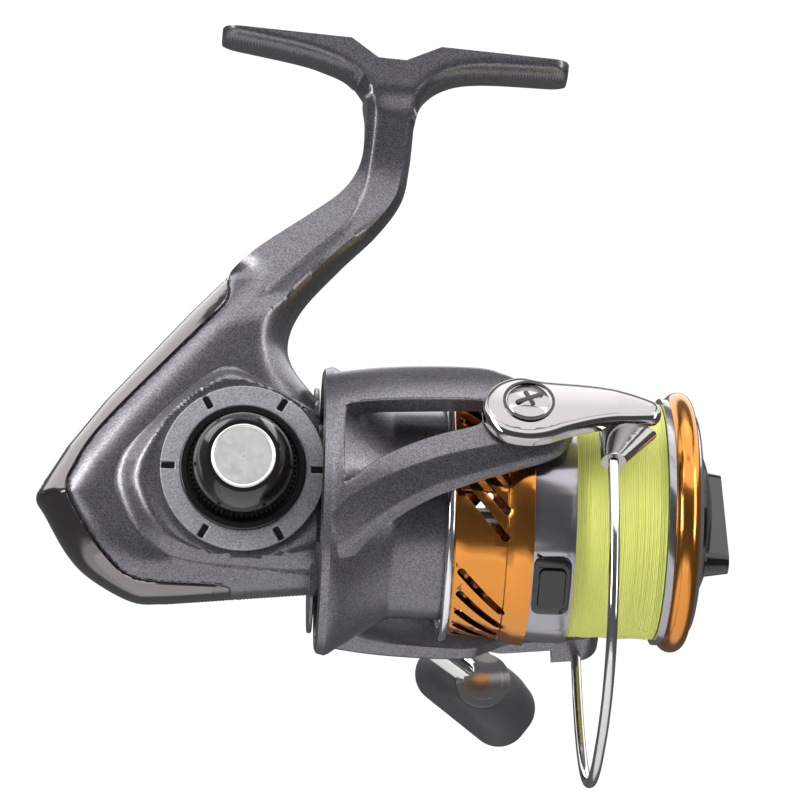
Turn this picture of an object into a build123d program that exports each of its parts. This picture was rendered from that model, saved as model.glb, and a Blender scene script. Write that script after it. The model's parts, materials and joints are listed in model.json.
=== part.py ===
from build123d import *
import os
from math import asin, atan2, cos, pi, radians, sin, sqrt

os.makedirs("parts", exist_ok=True)

# Spinning reel. The origin is on the foot's front pad, in its seating face: +Z is that
# face's outward normal, +X points along the rod to its tip, and +Y to the handle.

# ---------------------------------------------------------------- driving dimensions, mm
TILT = 4.0               # the spool axis rises this much towards the front, degrees
FOOT_LENGTH = 62.0
FOOT_WIDTH = 13.0
FOOT_MIDDLE = -15.0      # middle of the foot, behind the origin
AXIS_BACK = 33.8         # crank axis behind the origin
AXIS_DROP = 84.9         # spool axis below the foot, at the crank
CRANK_HEIGHT = 4.5       # crank axis above the spool axis
ARM_ANGLE = 31.0         # near rotor arm, above the horizontal, degrees

CASE_FAR = -10.5         # the case's open edge, on the handle side
CASE_NEAR = 12.4         # the case's flat side
PAD_NEAR = 15.0          # raised land that carries the bearing ring
SKIN = 1.6               # rear cover wall
COVER_HALF = 14.0        # rear cover, half width
CASE_FRONT = 12.8

SHAFT_R = 1.4
PINION_BORE = 1.5
JOURNAL_R = 3.0
DRIVE_SHAFT_R = 2.6
PINION_TEETH = 8
DRIVE_TEETH = 42
MESH_X = 13.0            # where the drive gear's face teeth meet the pinion
PINION_PITCH_R = MESH_X * PINION_TEETH / DRIVE_TEETH
LAY_TEETH = 16           # small gear on the drive shaft
CAM_TEETH = 36           # oscillation gear
LAY_MODULE = 0.5
CAM_Y = 1.5              # oscillation gear axis above the spool axis
CAM_ORBIT = 7.0          # radius of its peg, half the spool's stroke

ROTOR_REAR = 13.4
RIM_R = 25.2
CUP_R = 18.3
CUP_FRONT = 35.5
ARM_R = 28.0             # outside of the rotor arms
ARM_WALL = 3.2
PIVOT_X = 47.7           # bail pivot along the spool axis
BAIL_X = 61.5            # bow of the bail wire
BAIL_SIDE = 33.0
BAIL_DEPTH = 45.0
BAIL_SQUARE = 0.81       # exponent of the bow's rounded square
BAIL_SKEW = 0.108
WIRE_R = 0.9

SKIRT_REAR = 36.4
SKIRT_FRONT = 49.5
BAND_R = 21.8
WINDING_REAR = 56.7
WINDING_FRONT = 72.4
WINDING_R = 20.8
ARBOR_R = 15.0
LIP_R = 22.75
LIP_X = 76.0
FACE_X = 77.8            # front face of the spool
POCKET_R = 12.0          # drag pocket

CRANK_LENGTH = 54.3
CRANK_ANGLE = -32.3      # handle arm, from straight ahead, degrees
EYE_OUT = 44.5           # handle arm's eye, out from the mid-plane
EYE_R = 5.0

STANDING = (Align.CENTER, Align.CENTER, Align.MIN)

# ---------------------------------------------------------------- planes and axes
ahead = Vector(cos(radians(TILT)), 0, sin(radians(TILT)))
hub_point = Vector(-AXIS_BACK, 0, -AXIS_DROP)
SIDE = Plane(hub_point, x_dir=ahead, z_dir=(0, -1, 0))      # x ahead, y up, z to the cap side
near_radial = SIDE.from_local_coords((0, sin(radians(ARM_ANGLE)), cos(radians(ARM_ANGLE)))) - hub_point
DISC = Plane(hub_point, x_dir=(0, 1, 0), z_dir=ahead)       # z ahead, y up
ROTOR = Plane(hub_point, x_dir=near_radial, z_dir=ahead)    # z ahead, x out along the near arm
ARM_FACE = Plane(hub_point, x_dir=ahead, z_dir=near_radial)  # x ahead, y across, z out
CRANK = Plane(SIDE.from_local_coords((0, CRANK_HEIGHT, 0)), x_dir=ahead, z_dir=(0, -1, 0))
PIVOT = Plane(ARM_FACE.from_local_coords((PIVOT_X, 0, 0)), x_dir=ahead, z_dir=near_radial)
SHAFT = Axis(hub_point, ahead)
CRANK_AXIS = Axis(CRANK.origin, (0, -1, 0))


def rod(plane, radius, start, end, at=(0, 0), mode=Mode.ADD):
    """Add or cut a round bar along the plane's normal, from start to end."""
    with Locations(plane.location * Location((at[0], at[1], start))):
        Cylinder(radius, end - start, align=STANDING, mode=mode)


def ring(plane, outer, inner, start, end, at=(0, 0)):
    """Add a plain ring along the plane's normal."""
    rod(plane, outer, start, end, at)
    rod(plane, inner, start, end, at, Mode.SUBTRACT)


def block(plane, low, high, mode=Mode.ADD):
    """Add or cut a box given by two corners in the plane's own coordinates."""
    size = [b - a for a, b in zip(low, high)]
    centre = [(a + b) / 2 for a, b in zip(low, high)]
    with Locations(plane.location * Location(tuple(centre))):
        Box(*size, mode=mode)


def gear_points(teeth, root, tip, root_half, tip_half, phase=0.0):
    """Corner points of a plain spur gear; the half widths are in mm."""
    points = []
    for i in range(teeth):
        middle = phase + 2 * pi * i / teeth
        corners = [(root, -root_half), (tip, -tip_half), (tip, tip_half), (root, root_half)]
        for radius, offset in corners:
            angle = middle + asin(offset / radius)
            points.append((radius * cos(angle), radius * sin(angle)))
    return points


def around(count, radius, phase=0.0):
    """Points spaced evenly on a circle."""
    return [
        (radius * cos(radians(phase) + 2 * pi * i / count), radius * sin(radians(phase) + 2 * pi * i / count))
        for i in range(count)
    ]


def save(builder, name):
    """Label a finished piece and write its file."""
    builder.part.label = name
    export_step(builder.part, f"parts/{name}.step")


# ---------------------------------------------------------------- case outlines (x ahead, y up)
# side view of the whole case, without the stem
with BuildSketch() as silhouette:
    with BuildLine():
        Line((CASE_FRONT, -14.6), (CASE_FRONT, 19.0))
        ThreePointArc((CASE_FRONT, 19.0), (8.2, 24.6), (7.1, 29.8))
        Polyline((7.1, 29.8), (9.3, 35.5), (2.0, 45.3), (-3.8, 40.8), (-24.5, 17.4), (-35.3, 2.0))
        ThreePointArc((-35.3, 2.0), (-35.9, -0.2), (-34.3, -2.2))
        ThreePointArc((-34.3, -2.2), (-27.6, -11.8), (-16.9, -17.2))
        Line((-16.9, -17.2), (CASE_FRONT, -14.6))
    make_face()

# the side area that the rear cover's cheeks lie over
with BuildSketch() as cheek_zone:
    with BuildLine():
        Polyline((-3.4, 45.0), (-3.6, 34.5), (-7.0, 30.6), (-24.7, 11.5), (-29.2, 3.7))
        ThreePointArc((-29.2, 3.7), (-29.9, 1.4), (-29.1, -1.2))
        Polyline((-29.1, -1.2), (-25.1, -7.9), (-20.0, -12.8), (-16.0, -14.2), (-2.6, -14.4))
        Polyline((-2.6, -14.4), (-0.1, -17.4), (-0.1, -25.0), (-45.0, -25.0), (-45.0, 45.0), (-3.4, 45.0))
    make_face()

with BuildSketch() as inner_case:
    offset(silhouette.sketch, amount=-SKIN)

with BuildSketch() as rear_skin:
    add(silhouette.sketch)
    add(inner_case.sketch, mode=Mode.SUBTRACT)
    add(cheek_zone.sketch, mode=Mode.INTERSECT)

with BuildSketch() as case_core:
    add(silhouette.sketch)
    add(rear_skin.sketch, mode=Mode.SUBTRACT)

with BuildSketch() as land:
    add(silhouette.sketch)
    add(cheek_zone.sketch, mode=Mode.SUBTRACT)

with BuildSketch() as cavity:
    offset(silhouette.sketch, amount=-SKIN - 2.2)
    with Locations((0, 22)):
        Rectangle(90, 50, mode=Mode.SUBTRACT, align=(Align.CENTER, Align.MIN))

CAM_X = -sqrt(((LAY_TEETH + CAM_TEETH) * LAY_MODULE / 2) ** 2 - (CRANK_HEIGHT - CAM_Y) ** 2)

# ---------------------------------------------------------------- housing, held to the rod
stem_left = [(-3.8, 40.8), (3.6, 46.6), (10.5, 52.0), (16.1, 56.6), (18.8, 60.8), (19.7, 66.0), (19.7, 73.5)]
stem_right = [(28.2, 71.0), (27.7, 61.3), (26.3, 55.2), (22.0, 49.6), (15.9, 43.1), (9.3, 35.5)]
guide_lines = [(-4.6, -30.2, -0.5), (9.6, -27.4, -3.2)]   # height, rear end, front end
screw_spots = [(-17.5, 15.5), (-19.2, -9.9), (8.5, -9.5)]

with BuildPart() as foot_plate:
    with BuildSketch(Plane((FOOT_MIDDLE, 0, 0), x_dir=(1, 0, 0), z_dir=(0, -1, 0))):
        Polygon(
            (-31.0, 0), (-8.0, 0), (-3.0, -3.1), (2.0, -3.1), (8.0, 0), (31.0, 0), (31.0, -2.8), (16.0, -3.6),
            (9.0, -5.6), (5.0, -9.5), (4.4, -13.5), (-4.2, -13.0), (-4.8, -9.5), (-8.0, -5.6), (-17.8, -3.2),
            (-31.0, -1.8), align=None,
        )
    extrude(amount=FOOT_WIDTH / 2, both=True)
    with BuildSketch(Plane((FOOT_MIDDLE, 0, -20))):
        RectangleRounded(FOOT_LENGTH, FOOT_WIDTH, 3.0)
    extrude(amount=20.5, mode=Mode.INTERSECT)

with BuildPart() as housing_body:
    with BuildSketch(SIDE.offset(CASE_FAR)):
        add(case_core.sketch)
    extrude(amount=CASE_NEAR - CASE_FAR)
    with BuildSketch(SIDE.offset(CASE_NEAR)):
        add(land.sketch)
    extrude(amount=PAD_NEAR - CASE_NEAR)
    with BuildSketch(SIDE):
        with BuildLine():
            Spline(*stem_left)
            Line(stem_left[-1], stem_right[0])
            Spline(*stem_right)
            Line(stem_right[-1], stem_left[0])
        make_face()
    extrude(amount=5.0, both=True)
    rod(SIDE, 4.9, -8.5, 10.5, (4.9, 41.0))
    rod(SIDE, 4.2, -6.6, 7.2, (10.4, 45.6))
    add(foot_plate.part)
    rod(DISC, 21.4, 12.0, CASE_FRONT)
    rod(DISC, 15.0, CASE_FRONT, 16.6)
    rod(DISC, 11.5, 16.6, 28.0)
    with BuildSketch(SIDE.offset(CASE_FAR)):
        add(cavity.sketch)
    extrude(amount=9.4 - CASE_FAR, mode=Mode.SUBTRACT)
    rod(CRANK, 15.4, 1.6, 6.4, mode=Mode.SUBTRACT)
    block(SIDE, (7.6, -3.0, CASE_FAR), (CASE_FRONT, 3.0, -3.0))
    rod(DISC, 3.4, 7.6, 10.2)
    rod(DISC, 2.9, 7.6, 10.2, mode=Mode.SUBTRACT)
    rod(DISC, 3.4, 10.2, 17.2, mode=Mode.SUBTRACT)
    rod(DISC, 7.0, 17.2, 20.4, mode=Mode.SUBTRACT)
    rod(DISC, 10.0, 20.4, 28.0, mode=Mode.SUBTRACT)
    rod(CRANK, 5.5, 9.4, 12.6, mode=Mode.SUBTRACT)
    rod(CRANK, 3.4, 12.6, PAD_NEAR, mode=Mode.SUBTRACT)
    rod(CRANK, 14.2, PAD_NEAR, 19.0, mode=Mode.SUBTRACT)
    for x, y in screw_spots:
        rod(SIDE, 2.2, CASE_FAR, 1.4 if x > 0 else 9.4, (x, y))
        rod(SIDE, 0.8, CASE_FAR, -3.0, (x, y), Mode.SUBTRACT)
    for y, rear, front in guide_lines:
        rod(DISC, 0.75, rear, front, (0, y), Mode.SUBTRACT)
save(housing_body, "housing_body")

with BuildPart() as side_cover:
    with BuildSketch(SIDE.offset(-CASE_NEAR)):
        add(case_core.sketch)
        with Locations((0, 26)):
            Rectangle(80, 40, mode=Mode.SUBTRACT, align=(Align.CENTER, Align.MIN))
    extrude(amount=CASE_NEAR + CASE_FAR)
    with BuildSketch(SIDE.offset(-CASE_NEAR)):
        add(land.sketch)
        with Locations((0, 26)):
            Rectangle(80, 40, mode=Mode.SUBTRACT, align=(Align.CENTER, Align.MIN))
    extrude(amount=-(PAD_NEAR - CASE_NEAR))
    rod(CRANK, 9.0, -17.0, CASE_FAR)
    rod(CRANK, 5.5, -14.0, CASE_FAR, mode=Mode.SUBTRACT)
    rod(CRANK, 3.2, -17.0, -14.0, mode=Mode.SUBTRACT)
    for x, y in screw_spots:
        rod(SIDE, 0.85, -PAD_NEAR, CASE_FAR, (x, y), Mode.SUBTRACT)
        rod(SIDE, 1.7, -PAD_NEAR - 1, -12.0, (x, y), Mode.SUBTRACT)
    add(housing_body.part, mode=Mode.SUBTRACT)
save(side_cover, "side_cover")

with BuildPart() as rear_cover:
    with BuildSketch(SIDE.offset(-COVER_HALF)):
        add(silhouette.sketch)
        add(cheek_zone.sketch, mode=Mode.INTERSECT)
    extrude(amount=2 * COVER_HALF)
    with BuildSketch(SIDE.offset(-CASE_NEAR)):
        add(case_core.sketch)
    extrude(amount=2 * CASE_NEAR, mode=Mode.SUBTRACT)
    add(housing_body.part, mode=Mode.SUBTRACT)
    add(side_cover.part, mode=Mode.SUBTRACT)
    rod(SIDE, 1.7, -COVER_HALF, -COVER_HALF + 1.0, (-32.0, 0.5), Mode.SUBTRACT)
save(rear_cover, "rear_cover")

with BuildPart() as cover_screws:
    for x, y in screw_spots:
        rod(SIDE, 1.6, -13.4, -12.0, (x, y))
        rod(SIDE, 0.8, -12.0, -4.0, (x, y))
        with BuildSketch(SIDE.offset(-13.4)):
            with Locations((x, y)):
                Rectangle(2.2, 0.5)
                Rectangle(0.5, 2.2)
        extrude(amount=0.7, mode=Mode.SUBTRACT)
    rod(SIDE, 1.7, -COVER_HALF, -COVER_HALF + 1.0, (-32.0, 0.5))
save(cover_screws, "cover_screws")

with BuildPart() as bearing_ring:
    ring(CRANK, 14.1, 10.7, PAD_NEAR, 17.0)
    for i in range(6):
        with Locations(CRANK.location * Location((0, 0, 17.0), (0, 0, 60 * i)) * Location((12.9, 0, 0))):
            Box(2.6, 1.2, 1.6, mode=Mode.SUBTRACT)
save(bearing_ring, "bearing_ring")

with BuildPart() as cap_collar:
    ring(CRANK, 10.7, 9.4, PAD_NEAR, 18.0)
save(cap_collar, "cap_collar")

bearing_spans = [(9.4, 12.4), (-14.0, -11.0)]
with BuildPart() as bearing_outer_races:
    for start, end in bearing_spans:
        ring(CRANK, 5.5, 4.8, start, end)
    ring(DISC, 7.0, 6.0, 17.2, 20.4)
save(bearing_outer_races, "bearing_outer_races")

with BuildPart() as bearing_balls:
    for start, end in bearing_spans:
        for x, y in around(8, 4.1):
            with Locations(CRANK.location * Location((x, y, (start + end) / 2))):
                Sphere(0.66)
    for x, y in around(8, 5.0):
        with Locations(DISC.location * Location((x, y, 18.8))):
            Sphere(0.95)
save(bearing_balls, "bearing_balls")

with BuildPart() as drive_bearing_sleeves:
    for start, end in bearing_spans:
        ring(CRANK, 3.4, DRIVE_SHAFT_R, start, end)
save(drive_bearing_sleeves, "drive_bearing_sleeves")

with BuildPart() as pinion_bearing_sleeve:
    ring(DISC, 4.0, JOURNAL_R, 17.2, 20.4)
save(pinion_bearing_sleeve, "pinion_bearing_sleeve")

with BuildPart() as pinion_bush:
    ring(DISC, 2.9, 2.05, 7.6, 10.2)
save(pinion_bush, "pinion_bush")

with BuildPart() as clutch_ring:
    ring(DISC, 10.0, 6.95, 20.6, 27.6)
save(clutch_ring, "clutch_ring")

with BuildPart() as clutch_rollers:
    for x, y in around(8, 5.98):
        rod(DISC, 0.9, 21.6, 26.6, (x, y))
save(clutch_rollers, "clutch_rollers")

with BuildPart() as clutch_retainer:
    ring(DISC, 11.5, 5.4, 28.0, 28.9)
save(clutch_retainer, "clutch_retainer")

with BuildPart() as clutch_sleeve:
    ring(DISC, 5.0, JOURNAL_R, 20.6, 29.8)
save(clutch_sleeve, "clutch_sleeve")

with BuildPart() as guide_rods:
    for y, rear, front in guide_lines:
        rod(DISC, 0.75, rear, front, (0, y))
save(guide_rods, "guide_rods")

with BuildPart() as cam_axle:
    rod(SIDE, 1.5, CASE_FAR, -7.0, (CAM_X, CAM_Y))
    rod(SIDE, 1.1, -7.0, -4.6, (CAM_X, CAM_Y))
save(cam_axle, "cam_axle")

# ---------------------------------------------------------------- drive train, on the crank
with BuildPart() as drive_gear:
    rod(CRANK, 14.7, 3.8, 5.6)
    rod(CRANK, 11.6, 4.8, 5.6, mode=Mode.SUBTRACT)
    rod(CRANK, 4.6, 3.4, 8.4)
    for i in range(DRIVE_TEETH):
        turn = Location((0, 0, 0), (0, 0, 360 * i / DRIVE_TEETH))
        with Locations(CRANK.location * turn * Location((12.9, -CRANK_HEIGHT, 2.12))):
            Box(2.2, 0.66, 1.8, align=STANDING)
    for x, y in around(6, 8.2):
        rod(CRANK, 1.6, 3.0, 6.0, (x, y), Mode.SUBTRACT)
    rod(CRANK, DRIVE_SHAFT_R, 3.0, 9.0, mode=Mode.SUBTRACT)
save(drive_gear, "drive_gear")

LAY_R = LAY_TEETH * LAY_MODULE / 2
MESH_ANGLE = atan2(CRANK_HEIGHT - CAM_Y, -CAM_X)
with BuildPart() as drive_shaft:
    rod(CRANK, DRIVE_SHAFT_R, -17.4, 12.6)
    with BuildSketch(CRANK.offset(-6.6)):
        Polygon(*gear_points(LAY_TEETH, LAY_R - 0.6, LAY_R + 0.3, 0.42, 0.16, MESH_ANGLE + pi), align=None)
    extrude(amount=2.0)
    rod(CRANK, 1.6, -18.0, 13.0, mode=Mode.SUBTRACT)
save(drive_shaft, "drive_shaft")

with BuildPart() as handle_screw:
    rod(CRANK, 1.5, -27.0, 18.0)
    rod(CRANK, 2.6, -28.0, -27.0)
save(handle_screw, "handle_screw")

KNURLS = 64
with BuildPart() as handle_screw_cap:
    with BuildSketch(CRANK.offset(16.0)):
        Polygon(*gear_points(KNURLS, 8.6, 9.1, 0.34, 0.08), align=None)
    extrude(amount=4.4)
    with BuildSketch(Plane(CRANK.origin, x_dir=ahead, z_dir=(-sin(radians(TILT)), 0, cos(radians(TILT))))):
        with BuildLine():
            Polyline((0, -20.0), (8.6, -20.0), (8.6, -21.2))
            ThreePointArc((8.6, -21.2), (7.9, -25.6), (6.1, -29.3))
            Polyline((6.1, -29.3), (0, -29.3), (0, -20.0))
        make_face()
    revolve(axis=CRANK_AXIS)
    rod(CRANK, 5.4, 28.6, 29.4, mode=Mode.SUBTRACT)
    rod(CRANK, 1.5, 16.0, 18.0, mode=Mode.SUBTRACT)
save(handle_screw_cap, "handle_screw_cap")

with BuildPart() as cap_disc:
    rod(CRANK, 5.4, 28.6, 29.5)
save(cap_disc, "cap_disc")

eye = (CRANK_LENGTH * cos(radians(CRANK_ANGLE)), CRANK_LENGTH * sin(radians(CRANK_ANGLE)))
arm_start = CRANK.from_local_coords((0, 0, -24.6))
arm_end = CRANK.from_local_coords((eye[0], eye[1], -EYE_OUT))
with BuildPart() as handle_arm:
    rod(CRANK, 5.6, -27.0, -17.4)
    with BuildSketch(Plane(arm_start, z_dir=arm_end - arm_start)):
        Ellipse(3.4, 2.5)
    with BuildSketch(Plane(arm_end, z_dir=arm_end - arm_start).offset(-2)):
        Ellipse(2.5, 2.0)
    loft()
    rod(CRANK, EYE_R, -EYE_OUT - 2.6, -EYE_OUT + 2.6, eye)
    rod(CRANK, 1.5, -30.0, -17.0, mode=Mode.SUBTRACT)
    rod(CRANK, 2.7, -31.0, -27.0, mode=Mode.SUBTRACT)
    rod(CRANK, 1.5, -EYE_OUT - 3, -EYE_OUT + 3, eye, Mode.SUBTRACT)
    rod(CRANK, 3.6, -EYE_OUT + 2.0, -EYE_OUT + 3, eye, Mode.SUBTRACT)
save(handle_arm, "handle_arm")

with BuildPart() as eye_cap:
    rod(CRANK, 3.6, -EYE_OUT + 2.0, -EYE_OUT + 2.9, eye)
save(eye_cap, "eye_cap")

KNOB_FAR = -EYE_OUT - 24.0
with BuildPart() as knob_spindle:
    rod(CRANK, 1.5, KNOB_FAR + 4.0, -EYE_OUT + 2.0, eye)
    rod(CRANK, 2.2, KNOB_FAR + 3.0, KNOB_FAR + 4.0, eye)
save(knob_spindle, "knob_spindle")

# ---------------------------------------------------------------- knob, turning on its spindle
with BuildPart() as knob_bushes:
    ring(CRANK, 2.8, 1.55, -EYE_OUT - 6.0, -EYE_OUT - 3.0, eye)
    ring(CRANK, 2.8, 1.55, KNOB_FAR + 4.2, KNOB_FAR + 7.0, eye)
save(knob_bushes, "knob_bushes")

KNOB_TURN = -37.0        # how the paddle lies at rest, degrees
knob_sections = [(3.0, 8.6, 8.6), (9.0, 20.0, 12.0), (16.0, 24.0, 13.0), (22.0, 23.6, 12.6), (24.0, 21.0, 10.0)]
knob_seat = CRANK.location * Location((eye[0], eye[1], 0), (0, 0, KNOB_TURN + 180))
with BuildPart() as handle_knob:
    for out, across, thick in knob_sections:
        with BuildSketch(Plane(knob_seat).offset(-EYE_OUT - out)):
            RectangleRounded(across, thick, thick * 0.42)
    loft()
    rod(CRANK, 2.8, KNOB_FAR - 1, -EYE_OUT, eye, Mode.SUBTRACT)
    rod(CRANK, 3.4, KNOB_FAR - 1, KNOB_FAR + 1.2, eye, Mode.SUBTRACT)
save(handle_knob, "handle_knob")

with BuildPart() as knob_plug:
    rod(CRANK, 3.4, KNOB_FAR, KNOB_FAR + 1.2, eye)
save(knob_plug, "knob_plug")

# ---------------------------------------------------------------- line laying gear
with BuildPart() as cam_gear:
    cam_r = CAM_TEETH * LAY_MODULE / 2
    phase = MESH_ANGLE + pi / CAM_TEETH
    with BuildSketch(Plane(SIDE.from_local_coords((CAM_X, CAM_Y, -6.6)), x_dir=ahead, z_dir=(0, -1, 0))):
        Polygon(*gear_points(CAM_TEETH, cam_r - 0.6, cam_r + 0.3, 0.42, 0.16, phase), align=None)
        Circle(1.15, mode=Mode.SUBTRACT)
    extrude(amount=2.0)
    rod(SIDE, 1.5, -4.6, -3.4, (CAM_X, CAM_Y + CAM_ORBIT))
save(cam_gear, "cam_gear")

# ---------------------------------------------------------------- rotor
upper_bar = [(13.0, 14.6), (40.0, 13.4), (47.0, 8.8), (50.0, 7.6)]
lower_bar = [
    (55.6, -3.0), (52.5, -6.6), (46.0, -8.9), (39.0, -11.0), (31.7, -13.2), (24.5, -16.4), (18.5, -20.5),
    (13.0, -27.0),
]
window = [(17.0, 3.0), (40.6, 2.6), (39.6, -2.4), (33.0, -4.6), (26.4, -7.0), (21.0, -9.6), (17.0, -12.6)]
with BuildPart() as arm_cage:
    with BuildSketch(SIDE):
        with BuildLine():
            Polyline((ROTOR_REAR, 22.4), (ROTOR_REAR, 24.0), (15.0, RIM_R))
            Spline((15.0, RIM_R), (23.0, 26.7), (32.0, 27.6), (42.0, ARM_R))
            Polyline((42.0, ARM_R), (57.0, ARM_R), (57.0, ARM_R - ARM_WALL), (40.0, ARM_R - ARM_WALL))
            Polyline((40.0, ARM_R - ARM_WALL), (23.0, 23.4), (16.0, 21.6), (ROTOR_REAR, 22.4))
        make_face()
    revolve(axis=SHAFT)
    with BuildSketch(ARM_FACE.offset(18.0)) as arm_outline:
        with BuildLine():
            Spline(*upper_bar)
            ThreePointArc(upper_bar[-1], (55.4, 2.6), lower_bar[0])
            Spline(*lower_bar)
            Line(lower_bar[-1], upper_bar[0])
        make_face()
        with BuildLine():
            Polyline(*window, window[0])
        make_face(mode=Mode.SUBTRACT)
    extrude(amount=14.0, mode=Mode.INTERSECT)
    rod(PIVOT, 2.0, 20.0, 30.0, mode=Mode.SUBTRACT)

with BuildPart() as rotor:
    with BuildSketch(SIDE):
        Polygon(
            (ROTOR_REAR, 22.8), (ROTOR_REAR, 24.4), (14.4, RIM_R), (15.6, 24.8), (26.0, CUP_R), (CUP_FRONT, CUP_R),
            (CUP_FRONT, 3.0), (29.8, 3.0), (29.8, 6.5), (33.0, 6.5), (33.0, 16.5), (25.4, 16.5), (15.4, 22.6),
            align=None,
        )
    revolve(axis=SHAFT)
    add(arm_cage.part)
    add(arm_cage.part.rotate(SHAFT, 180))
    rod(ROTOR, 2.2, 32.0, 36.0, (11.5, 0), Mode.SUBTRACT)
    rod(ROTOR, 2.2, 32.0, 36.0, (-11.5, 0), Mode.SUBTRACT)
save(rotor, "rotor")

with BuildPart() as pinion_gear:
    rod(DISC, 2.0, 7.8, 15.4)
    with BuildSketch(DISC.offset(10.9)):
        Polygon(*gear_points(PINION_TEETH, 2.0, PINION_PITCH_R + 0.37, 0.44, 0.22, pi + pi / PINION_TEETH), align=None)
    extrude(amount=4.3)
    rod(DISC, 2.9, 15.4, 17.2)
    rod(DISC, JOURNAL_R, 17.2, CUP_FRONT)
    rod(DISC, 2.7, CUP_FRONT, 38.6)
    rod(DISC, PINION_BORE, 7.0, 39.0, mode=Mode.SUBTRACT)
save(pinion_gear, "pinion_gear")

with BuildPart() as rotor_nut:
    with BuildSketch(DISC.offset(CUP_FRONT)):
        RegularPolygon(5.6, 6)
        Circle(2.7, mode=Mode.SUBTRACT)
    extrude(amount=2.6)
save(rotor_nut, "rotor_nut")

with BuildPart() as nut_lock:
    block(ROTOR, (-1.6, 5.8, CUP_FRONT), (1.6, 11.0, CUP_FRONT + 0.8))
    rod(ROTOR, 0.6, CUP_FRONT, CUP_FRONT + 0.8, (0, 9.4), Mode.SUBTRACT)
    add(rotor_nut.part, mode=Mode.SUBTRACT)
save(nut_lock, "nut_lock")

# ---------------------------------------------------------------- bail
PLATE_IN = ARM_R + 0.3
PLATE_OUT = PLATE_IN + 2.8
ROLLER_X = 64.6
with BuildPart() as bail_arm:
    with BuildSketch(ARM_FACE.offset(PLATE_IN)):
        with BuildLine():
            ThreePointArc((50.6, 5.4), (39.7, -0.2), (50.6, -7.4))
            Spline((50.6, -7.4), (54.8, -5.6), (60.0, -3.9), (69.4, -2.2))
            ThreePointArc((69.4, -2.2), (70.6, 0.0), (69.6, 2.0))
            Spline((69.6, 2.0), (65.0, 3.6), (58.7, 4.8), (50.6, 5.4))
        make_face()
    extrude(amount=PLATE_OUT - PLATE_IN)
    rod(PIVOT, 4.2, PLATE_OUT - 0.9, PLATE_OUT + 1, mode=Mode.SUBTRACT)
    rod(PIVOT, 1.4, PLATE_IN, PLATE_OUT, mode=Mode.SUBTRACT)
    rod(ARM_FACE, 1.0, PLATE_IN, PLATE_OUT - 1.0, (ROLLER_X, 0), Mode.SUBTRACT)
save(bail_arm, "bail_arm")

with BuildPart() as bail_screw:
    rod(PIVOT, 1.35, ARM_R - ARM_WALL, PLATE_OUT - 0.9)
    rod(PIVOT, 4.0, PLATE_OUT - 0.9, PLATE_OUT + 0.7)
    chamfer(bail_screw.edges().filter_by(GeomType.CIRCLE).sort_by(Axis((0, 0, 0), near_radial))[-1], 0.5)
    for long_side, short_side in ((5.2, 0.9), (0.9, 3.4)):
        with Locations(PIVOT.location * Location((0, 0, PLATE_OUT + 0.7), (0, 0, -25))):
            Box(long_side, short_side, 1.2, mode=Mode.SUBTRACT)
save(bail_screw, "bail_screw")

with BuildPart() as roller_pin:
    rod(ARM_FACE, 1.0, 23.7, PLATE_OUT - 1.0, (ROLLER_X, 0))
    rod(ARM_FACE, 2.4, 23.7, 24.3, (ROLLER_X, 0))
save(roller_pin, "roller_pin")

with BuildPart() as line_roller:
    with BuildSketch(Plane(ARM_FACE.from_local_coords((ROLLER_X, 0, 0)), x_dir=ahead, z_dir=ARM_FACE.y_dir)):
        Polygon(
            (1.05, -24.6), (3.0, -24.6), (2.9, -25.2), (2.2, -25.9), (2.2, -26.7), (2.9, -27.6), (3.0, -28.0),
            (1.05, -28.0), align=None,
        )
    revolve(axis=Axis(ARM_FACE.from_local_coords((ROLLER_X, 0, 0)), near_radial))
save(line_roller, "line_roller")


def bow_point(angle):
    """A point of the bail wire's bow, from the near side (0) round to the far side (180)."""
    c, s = cos(radians(angle)), sin(radians(angle))
    drop = -BAIL_DEPTH * s ** BAIL_SQUARE
    out = BAIL_SIDE * (1 if c > 0 else -1) * abs(c) ** BAIL_SQUARE + BAIL_SKEW * drop
    return ARM_FACE.from_local_coords((BAIL_X, drop, out))


CONE_END = -12.4
bow_angles = [14, 26, 38, 50, 62, 74, 86, 98, 110, 122, 134, 146, 158, 169, 176, 179.3]
bow = [ARM_FACE.from_local_coords((BAIL_X, CONE_END, 30.4))] + [bow_point(a) for a in bow_angles[1:]]
bow_radii = []
for before, here, after in zip(bow, bow[1:], bow[2:]):
    turn = (here - before).get_angle(after - here)
    run = min((here - before).length, (after - here).length)
    bow_radii.append(0.45 * run / max(0.02, sin(radians(turn / 2)) / cos(radians(turn / 2))))
with BuildPart() as bail_wire:
    with BuildLine() as bow_line:
        FilletPolyline(*bow, radius=bow_radii)
    with BuildSketch(Plane(bow[0], z_dir=bow[1] - bow[0])):
        Circle(WIRE_R)
    sweep()
save(bail_wire, "bail_wire")

with BuildPart() as bail_cone:
    with BuildSketch(Plane(ARM_FACE.from_local_coords((ROLLER_X, -3.6, 27.2)), x_dir=ahead, z_dir=ARM_FACE.y_dir)):
        Ellipse(4.9, 3.0)
    with BuildSketch(Plane(ARM_FACE.from_local_coords((BAIL_X, CONE_END, 30.4)), x_dir=ahead, z_dir=ARM_FACE.y_dir)):
        Circle(2.1)
    loft()
    add(bail_arm.part, mode=Mode.SUBTRACT)
    rod(ARM_FACE, 3.3, 20.0, PLATE_IN, (ROLLER_X, 0), Mode.SUBTRACT)
    add(bail_wire.part, mode=Mode.SUBTRACT)
save(bail_cone, "bail_cone")

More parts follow.
